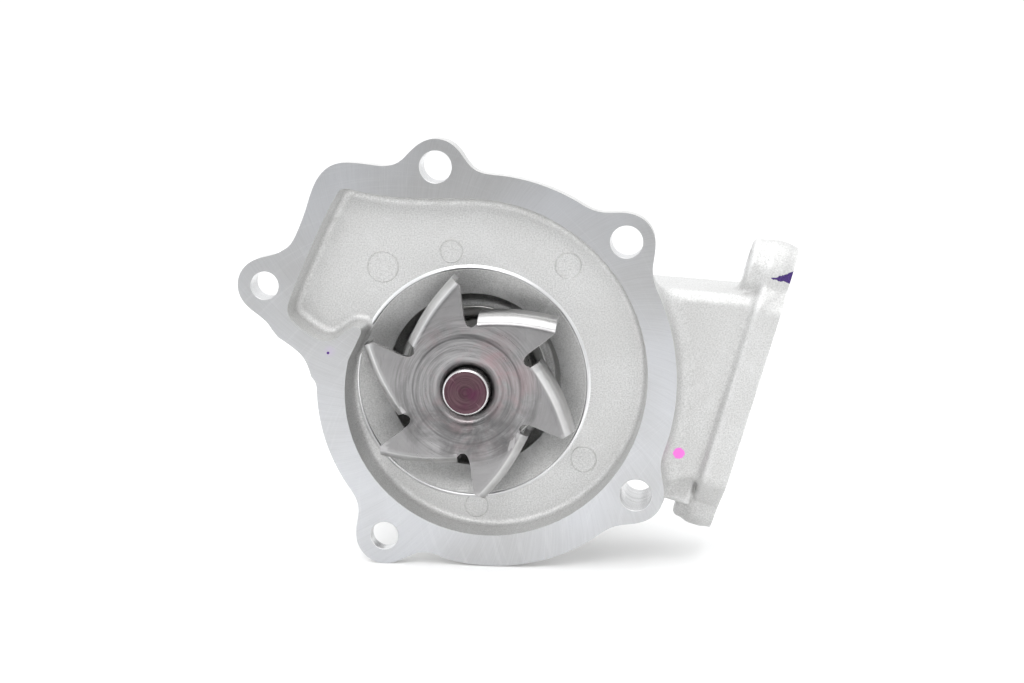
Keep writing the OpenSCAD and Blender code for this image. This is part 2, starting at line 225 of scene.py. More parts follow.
# ---------------------------------------------------------------- field to mesh
def mesh_from_field(fn, lo, hi, step, block=6):
    """Naive surface nets over the blocks that the surface crosses, each vertex then moved onto the surface."""
    lo = np.array(lo, float)
    n = (np.ceil((np.array(hi) - lo) / step / block).astype(int)) * block
    big = step * block
    nb = n // block
    cx, cy, cz = [lo[i] + big * (np.arange(nb[i]) + 0.5) for i in range(3)]
    CX, CY, CZ = np.meshgrid(cx, cy, cz, indexing="ij")
    c = fn(CX, CY, CZ)
    near = np.abs(c) < big * 0.87 + 3 * step + 1.5
    D = np.repeat(np.repeat(np.repeat(np.sign(c), block, 0), block, 1), block, 2).astype(np.float32) * 9
    D = np.pad(D, ((0, 1),) * 3, mode="edge")
    ib = np.argwhere(near)
    off = np.stack(np.meshgrid(*(np.arange(block + 1),) * 3, indexing="ij"), -1).reshape(-1, 3)
    for s in range(0, len(ib), 1500):
        g = (ib[s:s + 1500, None, :] * block + off[None]).reshape(-1, 3)
        p = lo + g * step
        D[g[:, 0], g[:, 1], g[:, 2]] = fn(p[:, 0], p[:, 1], p[:, 2])
    inside = D < 0
    cells = np.zeros(np.array(D.shape) - 1, np.uint8)
    for dx in (0, 1):
        for dy in (0, 1):
            for dz in (0, 1):
                cells += inside[dx:D.shape[0] - 1 + dx, dy:D.shape[1] - 1 + dy, dz:D.shape[2] - 1 + dz]
    act = (cells > 0) & (cells < 8)
    idx = np.argwhere(act)
    num = np.full(act.shape, -1, np.int64)
    num[act] = np.arange(len(idx))
    total = np.zeros((len(idx), 3))
    count = np.zeros(len(idx))
    corners = [(a, b, c2) for a in (0, 1) for b in (0, 1) for c2 in (0, 1)]
    val = {k: D[idx[:, 0] + k[0], idx[:, 1] + k[1], idx[:, 2] + k[2]] for k in corners}
    for a in corners:
        for ax in range(3):
            if a[ax] == 0:
                b = list(a)
                b[ax] = 1
                b = tuple(b)
                va, vb = val[a], val[b]
                m = (va < 0) != (vb < 0)
                t = np.where(m, va / np.where(m, va - vb, 1), 0)
                pos = np.array(a, float)[None] + np.eye(3)[ax][None] * t[:, None]
                total += pos * m[:, None]
                count += m
    v = lo + (idx + total / count[:, None]) * step
    for _ in range(2):
        h = 0.04
        f0 = fn(v[:, 0], v[:, 1], v[:, 2])
        g = np.stack([fn(v[:, 0] + h * (i == 0), v[:, 1] + h * (i == 1), v[:, 2] + h * (i == 2)) - f0 for i in range(3)], 1) / h
        g2 = np.maximum((g * g).sum(1), 0.15)
        move = -g * (f0 / g2)[:, None]
        ln = np.linalg.norm(move, axis=1)
        v += move * np.minimum(1, 0.45 * step / np.maximum(ln, 1e-9))[:, None]
    quads = []
    for ax in range(3):
        o1, o2 = [i for i in range(3) if i != ax]
        sl_a = [slice(None)] * 3
        sl_b = [slice(None)] * 3
        sl_a[ax] = slice(0, D.shape[ax] - 1)
        sl_b[ax] = slice(1, D.shape[ax])
        ina, inb = inside[tuple(sl_a)], inside[tuple(sl_b)]
        e = np.argwhere(ina != inb)
        ok = (e[:, o1] > 0) & (e[:, o2] > 0) & (e[:, o1] < D.shape[o1] - 1) & (e[:, o2] < D.shape[o2] - 1)
        e = e[ok]
        flip = ina[e[:, 0], e[:, 1], e[:, 2]]
        four = []
        for d1, d2 in ((0, 0), (-1, 0), (-1, -1), (0, -1)):
            f = e.copy()
            f[:, o1] += d1
            f[:, o2] += d2
            four.append(num[f[:, 0], f[:, 1], f[:, 2]])
        q = np.stack(four, 1)
        if ax == 1:
            flip = ~flip
        q[~flip] = q[~flip][:, ::-1]
        quads.append(q)
    q = np.vstack(quads)
    q = q[(q >= 0).all(1)]
    return v, q


def new_mesh(name, v, faces):
    me = bpy.data.meshes.new(name)
    me.vertices.add(len(v))
    me.vertices.foreach_set("co", np.ascontiguousarray(v, np.float32).ravel())
    f = np.asarray(faces)
    me.loops.add(f.size)
    me.loops.foreach_set("vertex_index", f.astype(np.int32).ravel())
    me.polygons.add(len(f))
    me.polygons.foreach_set("loop_start", (np.arange(len(f)) * f.shape[1]).astype(np.int32))
    me.update(calc_edges=True)
    me.validate()
    ob = bpy.data.objects.new(name, me)
    bpy.context.scene.collection.objects.link(ob)
    return ob


# ---------------------------------------------------------------- machining
def turned(name, profile, origin, x_axis, axis, seg=64, closed=True):
    """A solid turned about an axis: profile is (radius, height) in mm, from the axis out and back."""
    o, ez = np.array(origin, float), np.array(axis, float)
    ez /= np.linalg.norm(ez)
    ex = np.array(x_axis, float)
    ex -= ez * ex.dot(ez)
    ex /= np.linalg.norm(ex)
    ey = np.cross(ez, ex)
    bm = bmesh.new()
    rows = []
    for r, h in profile:
        if r < 1e-6:
            rows.append([bm.verts.new(Vector((o + ez * h) * MM))])
        else:
            rows.append([bm.verts.new(Vector((o + ez * h + r * (ex * math.cos(t) + ey * math.sin(t))) * MM))
                         for t in np.linspace(0, 2 * math.pi, seg, endpoint=False)])
    pairs = list(zip(rows, rows[1:] + rows[:1])) if closed else list(zip(rows, rows[1:]))
    for a, b in pairs:
        if len(a) == 1 and len(b) == 1:
            continue
        for i in range(seg):
            j = (i + 1) % seg
            if len(a) == 1:
                bm.faces.new((a[0], b[i], b[j]))
            elif len(b) == 1:
                bm.faces.new((a[i], b[0], a[j]))
            else:
                bm.faces.new((a[i], b[i], b[j], a[j]))
    bmesh.ops.recalc_face_normals(bm, faces=bm.faces)
    me = bpy.data.meshes.new(name)
    bm.to_mesh(me)
    bm.free()
    ob = bpy.data.objects.new(name, me)
    bpy.context.scene.collection.objects.link(ob)
    return ob


def block(name, lo, hi, mat=None):
    bm = bmesh.new()
    bmesh.ops.create_cube(bm, size=1)
    for v in bm.verts:
        p = [lo[i] + (hi[i] - lo[i]) * (v.co[i] + 0.5) for i in range(3)]
        v.co = Vector(p) * MM
    if mat is not None:
        bm.transform(mat)
    bmesh.ops.recalc_face_normals(bm, faces=bm.faces)
    me = bpy.data.meshes.new(name)
    bm.to_mesh(me)
    bm.free()
    ob = bpy.data.objects.new(name, me)
    bpy.context.scene.collection.objects.link(ob)
    return ob


def cut(ob, cutter):
    m = ob.modifiers.new("cut", "BOOLEAN")
    m.operation, m.object, m.solver = "DIFFERENCE", cutter, "MANIFOLD"
    dg = bpy.context.evaluated_depsgraph_get()
    ev = ob.evaluated_get(dg)
    me = bpy.data.meshes.new_from_object(ev)
    n0, n1 = len(ob.data.polygons), len(me.polygons)
    ob.modifiers.clear()
    if n1 == 0 or n1 == n0:
        bpy.data.meshes.remove(me)
        m = ob.modifiers.new("cut", "BOOLEAN")
        m.operation, m.object, m.solver = "DIFFERENCE", cutter, "EXACT"
        dg = bpy.context.evaluated_depsgraph_get()
        me = bpy.data.meshes.new_from_object(ob.evaluated_get(dg))
        ob.modifiers.clear()
    old = ob.data
    ob.data = me
    bpy.data.meshes.remove(old)
    bpy.data.objects.remove(cutter)


def side_point(a, u, n):
    return (n * CS + u * SN, a, -n * SN + u * CS)


def machine(ob):
    cut(ob, block("c0", (-90, -30, -80), (120, 0, 90)))
    rot = Matrix.Rotation(TILT, 4, "Y")
    cut(ob, block("c1", (73, -20, -60), (110, 70, 90), rot))
    cut(ob, block("c2", (-40, 65, -40), (40, 90, 40)))
    for c, hr, y1, rs in ((TOP, 4.25, 8.7, 6.6), (LEFT, 3.75, 8.7, 6.6), (UPPER, 4.25, 7.7, 6.6), (LOWER, 4.25, 23.6, 7.6)):
        prof = [(0, -3), (hr + 0.12 + 3, -3), (hr, 0.12), (hr, y1 - 0.4), (hr + 0.4, y1), (rs, y1), (rs, 42), (0, 42)]
        cut(ob, turned("bolt", prof, (c[0], 0, c[1]), (1, 0, 0), (0, 1, 0), seg=96, closed=False))
    prof = [(0, -3), (3.75 + 0.12 + 3, -3), (3.75, 0.12), (3.75, 4.5), (3.75 + 0.5 + 3, 8), (0, 8)]
    cut(ob, turned("foot", prof, (FOOT[0], 0, FOOT[1]), (1, 0, 0), (0, 1, 0), seg=96, closed=False))
    cut(ob, turned("eye", [(0, 7), (30.7, 7), (30.45, 8.1), (23.6, 11.5), (23.6, 13.6), (0, 13.6)],
                   (0, 0, 0), (1, 0, 0), (0, 1, 0), seg=220, closed=False))
    ax = (CS, 0, -SN)
    for i, (a, u, n0) in enumerate(((18, 50.5, 61), (26, -15.5, 62))):
        prof = [(0, n0 - 3), (4.25 + 3.5, n0 - 3), (4.25, n0 + 0.5), (4.25, 72.5), (4.25 + 3.5, 76), (0, 76)]
        cut(ob, turned("s%d" % i, prof, side_point(a, u, 0), (0, 1, 0), ax, seg=72, closed=False))
    bore = [(0, 14), (18.9, 14), (18.9, 16.4), (18, 17.3), (18, 28), (15, 28), (15, 64.2), (16.2, 65.4), (16.2, 70), (0, 70)]
    cut(ob, turned("b0", bore, (0, 0, 0), (1, 0, 0), (0, 1, 0), seg=144, closed=False))
    cut(ob, turned("w0", [(0, -40), (1.4, -40), (1.4, 29), (3.2, 29), (3.2, 36), (0, 36)], (0, 29.4, 0), (1, 0, 0), (0, 0, 1), seg=40, closed=False))


# ---------------------------------------------------------------- node graphs
class Graph:
    """A material's nodes, with short names for the usual steps. Positions are in metres in the part's frame."""

    def __init__(self, name):
        self.m = bpy.data.materials.new(name)
        self.m.use_nodes = True
        self.t = self.m.node_tree
        self.t.nodes.clear()
        self.out = self.t.nodes.new("ShaderNodeOutputMaterial")
        self.p = self.t.nodes.new("ShaderNodeBsdfPrincipled")
        self.t.links.new(self.p.outputs[0], self.out.inputs[0])
        self.co = self.t.nodes.new("ShaderNodeTexCoord").outputs["Object"]
        sep = self.t.nodes.new("ShaderNodeSeparateXYZ")
        self.link(self.co, sep.inputs[0])
        self.x, self.y, self.z = sep.outputs

    def link(self, a, b):
        if isinstance(a, (int, float)):
            b.default_value = a
        elif isinstance(a, (tuple, list)):
            b.default_value = tuple(a) + ((1,) if len(a) == 3 and len(b.default_value) == 4 else ())
        else:
            self.t.links.new(a, b)

    def math(self, op, a, b=0.0, c=0.0, clamp=False):
        n = self.t.nodes.new("ShaderNodeMath")
        n.operation = op
        n.use_clamp = clamp
        for i, v in enumerate((a, b, c)):
            self.link(v, n.inputs[i])
        return n.outputs[0]

    def noise(self, scale, vec=None, detail=2.0, rough=0.5, warp=0.0):
        n = self.t.nodes.new("ShaderNodeTexNoise")
        self.link(self.co if vec is None else vec, n.inputs["Vector"])
        n.inputs["Scale"].default_value = scale
        n.inputs["Detail"].default_value = detail
        n.inputs["Roughness"].default_value = rough
        n.inputs["Distortion"].default_value = warp
        return n.outputs["Fac"]

    def cells(self, scale, vec=None, feature="F1"):
        n = self.t.nodes.new("ShaderNodeTexVoronoi")
        n.feature = feature
        self.link(self.co if vec is None else vec, n.inputs["Vector"])
        n.inputs["Scale"].default_value = scale
        return n.outputs["Distance"]

    def span(self, v, a, b, c=0.0, d=1.0, smooth=False):
        n = self.t.nodes.new("ShaderNodeMapRange")
        n.interpolation_type = "SMOOTHSTEP" if smooth else "LINEAR"
        for i, k in enumerate((v, a, b, c, d)):
            self.link(k, n.inputs[i])
        return n.outputs[0]

    def mix(self, f, a, b, blend="MIX"):
        n = self.t.nodes.new("ShaderNodeMix")
        n.data_type = "RGBA"
        n.blend_type = blend
        self.link(f, n.inputs[0])
        self.link(a, n.inputs[6])
        self.link(b, n.inputs[7])
        return n.outputs[2]

    def vec(self, x, y, z):
        n = self.t.nodes.new("ShaderNodeCombineXYZ")
        for i, v in enumerate((x, y, z)):
            self.link(v, n.inputs[i])
        return n.outputs[0]

    def radius(self, x0=0.0, z0=0.0):
        a = self.math("SUBTRACT", self.x, x0)
        b = self.math("SUBTRACT", self.z, z0)
        return self.math("SQRT", self.math("ADD", self.math("MULTIPLY", a, a), self.math("MULTIPLY", b, b)))

    def near(self, point, r, edge=0.0002, wobble=0.0004):
        """1 inside a small blot round a point, with an uneven edge."""
        n = self.t.nodes.new("ShaderNodeVectorMath")
        n.operation = "DISTANCE"
        self.link(self.co, n.inputs[0])
        n.inputs[1].default_value = point
        d = self.math("ADD", n.outputs["Value"], self.math("MULTIPLY", self.math("SUBTRACT", self.noise(900), 0.5), wobble * 2))
        return self.span(d, r, r - edge)

    def edges(self, lo=0.5, hi=0.56):
        g = self.t.nodes.new("ShaderNodeNewGeometry")
        return self.span(g.outputs["Pointiness"], lo, hi)

    def finish(self, color, rough, metallic=1.0, bumps=()):
        self.link(color, self.p.inputs["Base Color"])
        self.link(rough, self.p.inputs["Roughness"])
        self.link(metallic, self.p.inputs["Metallic"])
        last = None
        for height, distance, strength in bumps:
            b = self.t.nodes.new("ShaderNodeBump")
            b.inputs["Strength"].default_value = strength
            b.inputs["Distance"].default_value = distance
            self.link(height, b.inputs["Height"])
            if last is not None:
                self.link(last, b.inputs["Normal"])
            last = b.outputs[0]
        if last is not None:
            self.link(last, self.p.inputs["Normal"])
        return self.m


def cast_aluminium():
    g = Graph("cast_aluminium")
    grain = g.noise(2500, detail=2, rough=0.6)
    fleck = g.cells(1500)
    cloud = g.noise(55, detail=3)
    patch = g.noise(210, detail=4, rough=0.6, warp=0.4)
    c = g.mix(g.span(grain, 0.32, 0.7), (0.56, 0.56, 0.555), (0.755, 0.755, 0.75))
    c = g.mix(g.math("MULTIPLY", g.span(cloud, 0.35, 0.68), 0.35), c, (0.56, 0.555, 0.545))
    c = g.mix(g.math("MULTIPLY", g.span(patch, 0.52, 0.72), 0.22), c, (0.78, 0.78, 0.78))
    # handling marks and a few darker scuffs
    scuff = g.math("MULTIPLY", g.span(g.noise(420, g.vec(g.x, g.math("MULTIPLY", g.y, 0.3), g.math("MULTIPLY", g.z, 0.16)), 4, 0.7), 0.7, 0.8),
                   g.span(g.noise(38, detail=1), 0.52, 0.62))
    c = g.mix(g.math("MULTIPLY", scuff, 0.35), c, (0.33, 0.33, 0.33))
    # painted highlight: convex edges lightened in patches, standing in for edge glints
    edge_glint = g.math("MULTIPLY", g.edges(0.508, 0.55), g.span(g.noise(300, detail=3), 0.35, 0.6))
    c = g.mix(g.math("MULTIPLY", edge_glint, 0.6), c, (0.88, 0.88, 0.88))
    # grime and painted shade: concave places darkened
    cavity_grime_and_shade = g.span(g.edges(0.5, 0.44), 0, 1)
    c = g.mix(g.math("MULTIPLY", cavity_grime_and_shade, 0.25), c, (0.36, 0.35, 0.34))
    # inspection paint: a pink dab on the arm, a violet one on the flange edge
    pink = g.near((0.0555, 0.008, -0.0181), 0.00165)
    c = g.mix(pink, c, (0.90, 0.20, 0.72))
    length = g.span(g.x, 0.0786, 0.0850)
    half = g.math("ADD", g.math("MULTIPLY", length, 0.00175), g.math("MULTIPLY", g.math("SUBTRACT", g.noise(1100, detail=3), 0.5), 0.0011))
    inside = g.math("SUBTRACT", half, g.math("ABSOLUTE", g.math("SUBTRACT", g.z, 0.02925)))
    wedge = g.math("MULTIPLY", g.span(inside, 0, 0.00012), g.span(g.x, 0.0785, 0.0789))
    wedge = g.math("MULTIPLY", wedge, g.span(g.y, 0.0195, 0.0185))
    c = g.mix(wedge, c, g.mix(g.span(grain, 0.35, 0.65), (0.022, 0.006, 0.085), (0.055, 0.015, 0.17)))
    paint = g.math("MAXIMUM", pink, wedge)
    r = g.math("ADD", g.span(grain, 0.3, 0.7, 0.62, 0.44), g.math("MULTIPLY", g.span(fleck, 0, 0.7), 0.08))
    m = g.math("SUBTRACT", 0.86, g.math("MULTIPLY", paint, 0.86))
    return g.finish(c, r, m, [(cloud, 0.0003, 0.12), (grain, 0.00012, 0.34), (fleck, 0.00008, 0.22)])


def milled(name="milled_aluminium", marks=True):
    g = Graph(name)
    r = g.radius(0.004, 0.004)
    a = g.math("ADD", g.math("ARCTAN2", g.math("SUBTRACT", g.z, 0.004), g.math("SUBTRACT", g.x, 0.004)), g.math("MULTIPLY", r, 9.0))
    ca, sa = g.math("COSINE", a), g.math("SINE", a)
    ray = g.vec(g.math("MULTIPLY", ca, 0.05), g.math("MULTIPLY", sa, 0.05), g.math("MULTIPLY", r, 0.035))
    fine = g.noise(2900, ray, 2, 0.6)
    coarse = g.noise(1250, ray, 4, 0.7)
    a2 = g.math("SUBTRACT", g.math("ARCTAN2", g.z, g.math("SUBTRACT", g.x, 0.06)), g.math("MULTIPLY", r, 14.0))
    cross = g.noise(1500, g.vec(g.math("MULTIPLY", g.math("COSINE", a2), 0.05), g.math("MULTIPLY", g.math("SINE", a2), 0.05), g.math("MULTIPLY", r, 0.05)), 2, 0.5)
    cloud = g.noise(26, detail=2)
    grit = g.noise(1500, detail=2)
    c = g.mix(g.span(cloud, 0.38, 0.62), (0.49, 0.49, 0.492), (0.58, 0.588, 0.608))
    c = g.mix(g.math("MULTIPLY", g.span(coarse, 0.52, 0.72), 0.10), c, (0.70, 0.71, 0.73))
    c = g.mix(g.math("MULTIPLY", g.span(coarse, 0.45, 0.3), 0.15), c, (0.34, 0.34, 0.345))
    c = g.mix(g.math("MULTIPLY", g.span(fine, 0.4, 0.68), 0.14), c, (0.74, 0.75, 0.77))
    c = g.mix(g.math("MULTIPLY", g.span(cross, 0.56, 0.7), 0.08), c, (0.9, 0.9, 0.9))
    c = g.mix(g.math("MULTIPLY", g.span(grit, 0.6, 0.8), 0.15), c, (0.35, 0.35, 0.35))
    if marks:
        dot = g.near((-0.0377, 0.0, 0.0087), 0.00042, 0.00012, 0.0001)
        halo = g.near((-0.0372, 0.0, 0.0091), 0.0019, 0.0016, 0.0005)
        c = g.mix(g.math("MULTIPLY", halo, 0.22), c, (0.62, 0.42, 0.80))
        c = g.mix(dot, c, (0.09, 0.03, 0.22))
    rough = g.math("ADD", g.span(coarse, 0.3, 0.7, 0.40, 0.33), g.span(fine, 0.3, 0.7, 0.04, -0.01))
    return g.finish(c, rough, 0.95, [(cloud, 0.0003, 0.05), (coarse, 0.00004, 0.08), (fine, 0.00003, 0.16)])


def bored():
    """Walls of drilled and bored holes: fine rings along the axis."""
    g = Graph("bored_aluminium")
    ring = g.noise(1.0, g.vec(g.math("MULTIPLY", g.x, 60), g.math("MULTIPLY", g.y, 4200), g.math("MULTIPLY", g.z, 60)), 2, 0.6)
    cloud = g.noise(160, detail=3)
    c = g.mix(g.span(ring, 0.35, 0.65), (0.66, 0.66, 0.665), (0.86, 0.86, 0.865))
    c = g.mix(g.math("MULTIPLY", g.span(cloud, 0.5, 0.7), 0.2), c, (0.55, 0.55, 0.55))
    return g.finish(c, g.span(ring, 0.3, 0.7, 0.38, 0.24), 0.95, [(ring, 0.00005, 0.4)])


def turned_metal(name, low, high, rough=(0.24, 0.4), tint=None, ring_mm=0.28, rings=(), spun=0.0, metallic=1.0, grime=0.0, plain_out=None):
    """Metal with concentric tool marks about the shaft axis."""
    g = Graph(name)
    r = g.radius()
    wobble = g.math("MULTIPLY", g.noise(40, detail=1), 0.0006)
    rr = g.math("ADD", r, wobble)
    fine = g.noise(1.0, g.vec(g.math("MULTIPLY", rr, 1000 / ring_mm), g.math("ADD", g.math("MULTIPLY", g.y, 1000 / ring_mm), g.math("MULTIPLY", g.z, 150)), g.math("MULTIPLY", g.x, 150)), 2, 0.6)
    band = g.noise(1.0, g.vec(g.math("MULTIPLY", rr, 620), g.math("ADD", g.math("MULTIPLY", g.y, 500), g.math("MULTIPLY", g.x, 70)), g.math("MULTIPLY", g.z, 70)), 2, 0.55)
    cloud = g.noise(120, detail=4, rough=0.6, warp=0.3)
    dust = g.noise(1900, detail=2)
    c = g.mix(g.span(fine, 0.33, 0.67), low, high)
    c = g.mix(g.math("MULTIPLY", g.span(band, 0.5, 0.7), 0.35), c, tuple(min(1, v * 1.2) for v in high))
    c = g.mix(g.math("MULTIPLY", g.span(band, 0.45, 0.3), 0.35), c, tuple(v * 0.62 for v in low))
    c = g.mix(g.math("MULTIPLY", g.span(dust, 0.58, 0.75), 0.18), c, tuple(min(1, v * 1.35) for v in high))
    if tint:
        color, r0, r1, much = tint
        spot = g.math("MULTIPLY", g.span(g.noise(95, detail=4, rough=0.65, warp=0.8), 0.46, 0.66), g.span(r, r1, r0, smooth=True))
        c = g.mix(g.math("MULTIPLY", spot, much), c, color)
    for rad, wide, much in rings:
        d = g.math("ABSOLUTE", g.math("SUBTRACT", rr, rad + 0.0003))
        c = g.mix(g.math("MULTIPLY", g.span(d, wide, 0.0), much), c, tuple(v * 0.35 for v in low))
    keep = 1.0
    if plain_out:
        # pressed blades: no tool marks past the turned disc
        fade = g.math("MAXIMUM", g.span(r, plain_out[0], plain_out[1], smooth=True), g.span(g.y, plain_out[2], plain_out[3], smooth=True))
        mid = tuple((a + b) / 2 for a, b in zip(low, high))
        soft = g.mix(g.span(cloud, 0.35, 0.65), tuple(v * 0.92 for v in mid), tuple(v * 1.1 for v in mid))
        scratch = g.noise(1.0, g.vec(g.math("MULTIPLY", g.x, 900), g.math("MULTIPLY", g.y, 900), g.math("MULTIPLY", g.z, 160)), 3, 0.6)
        soft = g.mix(g.math("MULTIPLY", g.span(scratch, 0.62, 0.75), 0.3), soft, tuple(v * 0.7 for v in low))
        c = g.mix(g.math("MULTIPLY", fade, 0.82), c, soft)
        # painted highlight: a bright band along the folds
        fold_highlight = g.math("MULTIPLY", g.span(g.y, -0.0037, -0.0033, smooth=True), g.span(r, 0.0135, 0.015))
        c = g.mix(fold_highlight, c, g.mix(g.span(cloud, 0.3, 0.7), (0.62, 0.615, 0.61), (0.78, 0.775, 0.77)))
        # painted shade: the lower half of the disc darkened in blots
        lower_half_shade = g.math("MULTIPLY", g.span(g.z, 0.003, -0.010, smooth=True), g.span(r, 0.022, 0.017, smooth=True))
        dirt_and_shade = g.math("MULTIPLY", lower_half_shade, g.span(g.noise(130, detail=4, rough=0.65, warp=0.5), 0.3, 0.62))
        c = g.mix(g.math("MULTIPLY", dirt_and_shade, 0.85), c, tuple(v * 0.42 for v in low))
        keep = g.math("SUBTRACT", 1.0, g.math("MULTIPLY", fade, 0.85))
    if grime:
        dirt_and_shade = g.span(g.noise(60, detail=5, rough=0.7, warp=1.0), 0.5, 0.72)
        c = g.mix(g.math("MULTIPLY", dirt_and_shade, grime), c, tuple(v * 0.45 for v in low))
    # painted highlight: convex edges lightened
    edge_glint = g.edges(0.51, 0.56)
    c = g.mix(g.math("MULTIPLY", edge_glint, 0.55), c, tuple(min(1, v * 1.45) for v in high))
    ro = g.math("ADD", g.span(fine, 0.3, 0.7, rough[0], rough[1]), g.math("MULTIPLY", g.span(cloud, 0.3, 0.7), 0.1))
    if spun:
        t = g.t.nodes.new("ShaderNodeTangent")
        t.direction_type, t.axis = "RADIAL", "Y"
        g.link(t.outputs[0], g.p.inputs["Tangent"])
        g.p.inputs["Anisotropic"].default_value = spun
    if plain_out:
        band, fine = g.math("MULTIPLY", band, keep), g.math("MULTIPLY", fine, keep)
    return g.finish(c, ro, metallic, [(cloud, 0.0004, 0.06), (band, 0.00005, 0.3), (fine, 0.00002, 0.35)])


def rubber(name="black_rubber", base=(0.022, 0.022, 0.023)):
    g = Graph(name)
    a, b = g.noise(900, detail=4, rough=0.7), g.noise(90, detail=3)
    c = g.mix(g.span(a, 0.4, 0.7), base, tuple(v * 2.2 for v in base))
    c = g.mix(g.math("MULTIPLY", g.span(b, 0.5, 0.7), 0.3), c, (0.09, 0.088, 0.085))
    return g.finish(c, g.span(b, 0.3, 0.7, 0.5, 0.72), 0.0, [(a, 0.00008, 0.4)])


def plain(name, low, high, rough, metallic, scale=800, bump=0.25):
    g = Graph(name)
    a, b = g.noise(scale, detail=4, rough=0.6), g.noise(scale / 9, detail=3, warp=0.4)
    c = g.mix(g.span(a, 0.35, 0.68), low, high)
    c = g.mix(g.math("MULTIPLY", g.span(b, 0.5, 0.72), 0.3), c, tuple(v * 0.7 for v in low))
    # painted highlight: convex edges lightened
    c = g.mix(g.math("MULTIPLY", g.edges(0.51, 0.56), 0.4), c, tuple(min(1, v * 1.25) for v in high))
    return g.finish(c, g.span(b, 0.3, 0.7, rough[0], rough[1]), metallic, [(a, 0.00006, bump)])


# ---------------------------------------------------------------- turned pieces
def rounded(points, r, closed=True):
    """A profile with its corners rounded and a support point either side of each."""
    pts = [np.array(p, float) for p in points]
    out = []
    n = len(pts)
    for i, p in enumerate(pts):
        if not closed and i in (0, n - 1):
            out.append(tuple(p))
            continue
        a, b = pts[i - 1] - p, pts[(i + 1) % n] - p
        la, lb = np.linalg.norm(a), np.linalg.norm(b)
        k = min(r, la * 0.42, lb * 0.42)
        a, b = a / la, b / lb
        if abs(a.dot(b) + 1) < 1e-4:
            out.append(tuple(p))
            continue
        s, e = p + a * k, p + b * k
        out.append(tuple(s + a * k * 0.15))
        for t in np.linspace(0, 1, 5):
            out.append(tuple((1 - t) ** 2 * s + 2 * t * (1 - t) * p + t * t * e))
        out.append(tuple(e + b * k * 0.15))
    return out


def smooth(ob, angle=38):
    ob.data.polygons.foreach_set("use_smooth", [True] * len(ob.data.polygons))
    ob.data.set_sharp_from_angle(angle=math.radians(angle))
    ob.data.update()


def lathe(name, points, node, body, material, r=0.25, seg=144, closed=True, axis=(0, 1, 0), origin=(0, 0, 0), x_axis=(1, 0, 0)):
    ob = turned(name, rounded(points, r, closed), origin, x_axis, axis, seg=seg, closed=closed)
    ob.data.materials.append(material)
    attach(ob, body)
    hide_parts(node)
    smooth(ob)
    return ob


# ---------------------------------------------------------------- impeller
# the fold of a blade in section: out from the star, and back towards the hub
FOLD = [(0.22, 0.02), (0.45, 0.13), (0.68, 0.34), (1.1, 0.80), (1.6, 1.36), (1.95, 1.80), (2.17, 2.2), (2.3, 2.75)]


def impeller_mesh():
    """The pressed sheet as a middle surface: a rolled collar, the star and six blades bent back along their folds."""
    side = np.array((0.687, 0.727))
    fin = 20.4 * np.array((math.cos(math.radians(43)), math.sin(math.radians(43))))
    fout = np.array((30.0, 0.0))
    bend, half, mid = 2.3, 0.8, -3.2
    cols = []
    nf = 18
    for i in range(6):
        rot = math.radians(98.5 - 60 * i)
        R = np.array(((math.cos(rot), -math.sin(rot)), (math.sin(rot), math.cos(rot))))
        for j in range(nf + 1):
            t = j / nf
            p = fin + (fout - fin) * t + side * 0.9 * math.sin(math.pi * t)
            cols.append(("fold", R @ (p - side * (half + bend)), R @ side, i))
        for r, d in ((26.5, -4.95), (25.2, -5.2), (23, -5.6), (20.6, -6.05), (19.2, -6.5), (18.45, -7.1), (17.85, -7.9),
                     (17.4, -8.9), (17.08, -10.2), (16.95, -11.6), (17.0, -13.1), (17.25, -14.6), (17.65, -15.9), (18.1, -16.75)):
            a = math.radians(d)
            cols.append(("cut", R @ np.array((r * math.cos(a), r * math.sin(a))), None, i))
    rows_r = [10.4, 11.6, 12.8, 13.8, 14.15, 14.5, 14.85, 15.5, 16.1, 16.6]
    v, index = [], []
    for kind, e, s, i in cols:
        re = math.hypot(*e)
        u = e / re
        ids = []

        def put(p2, y):
            ids.append(len(v))
            v.append((p2[0], y, p2[1]))

        for y in (5.0, 3.5, 2.0, 0.6, -0.2):
            put(u * 6.95, y)
        for f in np.linspace(90, 0, 9)[1:]:
            a = math.radians(f)
            put(u * (9.75 - 2.8 * math.sin(a)), mid + 2.8 - 2.8 * math.cos(a))
        for r in rows_r:
            k = min(1, max(0, (r - 14.0) / 0.9))
            put(u * r, mid + 0.16 * k * k * (3 - 2 * k))
        for f in (0.25, 0.5, 0.75, 0.92, 1.0):
            put(u * (16.6 + (re - 16.6) * f), mid + 0.16)
        plate = len(ids)
        if kind == "fold":
            y0 = mid + 0.16
            for f, h in FOLD:
                put(e + s * f, y0 + h)
            w = e + s * bend
            end = 7.1 - 0.112 * (math.hypot(*w) - 15)
            y1 = y0 + FOLD[-1][1]
            for f in (0.1, 0.4, 0.7, 1.0):
                put(w, y1 + (end - y1) * f)
        index.append((kind, i, ids, plate))
    faces = []
    n = len(index)
    for k in range(n):
        ka, ia, a, pa = index[k]
        kb, ib, b, pb = index[(k + 1) % n]
        rows = len(a) if ka == kb == "fold" and ia == ib else min(pa, pb)
        for q in range(rows - 1):
            faces.append((a[q], a[q + 1], b[q + 1], b[q]))
    return np.array(v), faces


